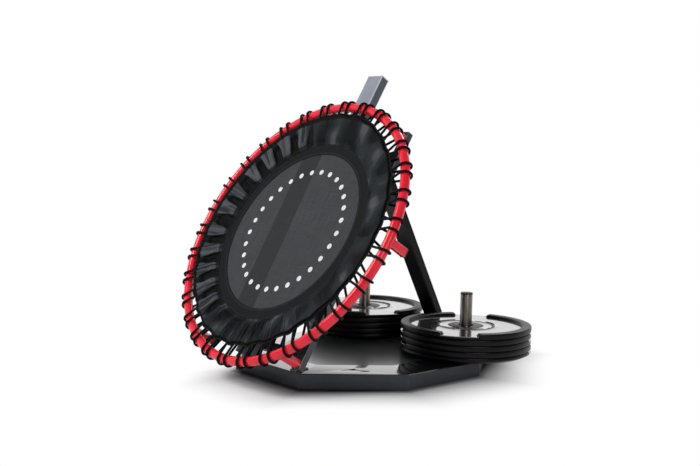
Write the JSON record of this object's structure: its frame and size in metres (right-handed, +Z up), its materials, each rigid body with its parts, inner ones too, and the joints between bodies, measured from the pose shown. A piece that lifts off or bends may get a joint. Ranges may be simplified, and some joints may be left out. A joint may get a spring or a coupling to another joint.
{
  "type": "rebound net",
  "caption": "Tilting medicine-ball rebounder: a round sprung mat in a laced tubular ring on an adjustable spine, over a low octagonal base held down by lift-off weight plates.",
  "frame": {"origin": "on the floor, under the middle of the whole machine", "axes": "+Z up, -Y the side that the ball is thrown from, +X to the right of somebody who looks at the back of the mat from behind the thrower"},
  "size_m": [0.9688, 1.0548, 0.9951],
  "materials": {
    "black_coat": "glossy black powder coat",
    "grey_coat": "satin grey powder coat",
    "red_paint": "gloss red paint",
    "steel": "brushed",
    "zinc": "zinc plated",
    "rubber": "matt",
    "plastic": "matt black",
    "woven_mat": "woven",
    "nylon": "slightly shiny nylon",
    "cord": "braided elastic",
    "plate_iron": "grey enamel"
  },
  "bodies": {
    "base": {"base_deck": "black_coat", "base_rib_front": "black_coat", "base_rib_rear": "black_coat", "foot_front_left": "rubber", "foot_front_right": "rubber", "foot_rear_left": "rubber", "foot_rear_right": "rubber", "post_left": "steel", "post_right": "steel", "post_cap_left": "plastic", "post_cap_right": "plastic", "hinge_bracket_left": "grey_coat", "hinge_bracket_right": "grey_coat", "hinge_pin_left": "zinc", "hinge_pin_right": "zinc", "strut_bracket": "black_coat", "strut_foot_pin": "zinc"},
    "frame": {"spine": "grey_coat", "spine_cap_top": "grey_coat", "spine_cap_low": "plastic", "rail_left": "grey_coat", "rail_right": "grey_coat", "crossbar_upper": "grey_coat", "crossbar_lower": "grey_coat", "hinge_lug_left": "grey_coat", "hinge_lug_right": "grey_coat", "ring_tube": "red_paint", "stub_left": "red_paint", "stub_right": "red_paint", "stub_upper_left": "red_paint", "stub_upper_right": "red_paint", "stub_lower_left": "red_paint", "stub_lower_right": "red_paint", "stub_cap_left": "plastic", "stub_cap_right": "plastic", "rail_bolt_lower_left": "zinc", "rail_bolt_lower_right": "zinc", "rail_bolt_upper_left": "zinc", "rail_bolt_upper_right": "zinc", "bungee_cord_1": "cord", "bungee_cord_2": "cord", "bungee_cord_3": "cord", "skirt": "nylon"},
    "mat": {"mat": "woven_mat", "mat_binding": "nylon", "mat_hoop": "zinc"},
    "strut": {"strut": "black_coat"},
    "collar": {"collar": "black_coat", "strut_top_pin": "zinc"},
    "knob": {"clamp_knob": "plastic"},
    "plate_left_1": {"plate_left_1": "plate_iron"},
    "plate_left_2": {"plate_left_2": "plate_iron"},
    "plate_left_3": {"plate_left_3": "plate_iron"},
    "plate_left_4": {"plate_left_4": "plate_iron"},
    "plate_left_5": {"plate_left_5": "plate_iron"},
    "plate_right_1": {"plate_right_1": "plate_iron"},
    "plate_right_2": {"plate_right_2": "plate_iron"},
    "plate_right_3": {"plate_right_3": "plate_iron"},
    "plate_right_4": {"plate_right_4": "plate_iron"},
    "plate_right_5": {"plate_right_5": "plate_iron"}
  },
  "joints": [
    {"name": "frame_tilt", "type": "hinge", "parent": "base", "child": "frame", "pos_m": [0, -0.336, 0.1], "axis": [1, 0, 0], "range_deg": [-7, 8]},
    {"name": "mat_rebound", "type": "slide", "parent": "frame", "child": "mat", "axis": [0, 0.8545, -0.5195], "range_m": [0, 0.025], "stiffness_N_per_m": 6000, "deforming": ["bungee_cord_1", "bungee_cord_2", "bungee_cord_3", "skirt"]},
    {"name": "strut_swing", "type": "hinge", "parent": "base", "child": "strut", "pos_m": [0, 0.442, 0.092], "axis": [1, 0, 0], "range_deg": [-14, 16]},
    {"name": "collar_turn", "type": "hinge", "parent": "strut", "child": "collar", "pos_m": [0, 0.07686, 0.77904], "axis": [1, 0, 0], "range_deg": [-8, 7]},
    {"name": "knob_turn", "type": "hinge", "parent": "collar", "child": "knob", "pos_m": [0, 0.00945, 0.82003], "axis": [1, 0, 0], "range_deg": [0, 180]},
    {"name": "plate_left_1_lift", "type": "slide", "parent": "base", "child": "plate_left_1", "axis": [0, 0, 1], "range_m": [0, 0.207]},
    {"name": "plate_left_2_lift", "type": "slide", "parent": "plate_left_1", "child": "plate_left_2", "axis": [0, 0, 1], "range_m": [0, 0.187]},
    {"name": "plate_left_3_lift", "type": "slide", "parent": "plate_left_2", "child": "plate_left_3", "axis": [0, 0, 1], "range_m": [0, 0.167]},
    {"name": "plate_left_4_lift", "type": "slide", "parent": "plate_left_3", "child": "plate_left_4", "axis": [0, 0, 1], "range_m": [0, 0.147]},
    {"name": "plate_left_5_lift", "type": "slide", "parent": "plate_left_4", "child": "plate_left_5", "axis": [0, 0, 1], "range_m": [0, 0.127]},
    {"name": "plate_right_1_lift", "type": "slide", "parent": "base", "child": "plate_right_1", "axis": [0, 0, 1], "range_m": [0, 0.207]},
    {"name": "plate_right_2_lift", "type": "slide", "parent": "plate_right_1", "child": "plate_right_2", "axis": [0, 0, 1], "range_m": [0, 0.187]},
    {"name": "plate_right_3_lift", "type": "slide", "parent": "plate_right_2", "child": "plate_right_3", "axis": [0, 0, 1], "range_m": [0, 0.167]},
    {"name": "plate_right_4_lift", "type": "slide", "parent": "plate_right_3", "child": "plate_right_4", "axis": [0, 0, 1], "range_m": [0, 0.147]},
    {"name": "plate_right_5_lift", "type": "slide", "parent": "plate_right_4", "child": "plate_right_5", "axis": [0, 0, 1], "range_m": [0, 0.127]}
  ],
  "couplings": [
    {"joint": "strut_swing", "follows": "frame_tilt", "ratio": 2},
    {"joint": "collar_turn", "follows": "frame_tilt", "ratio": -1}
  ]
}
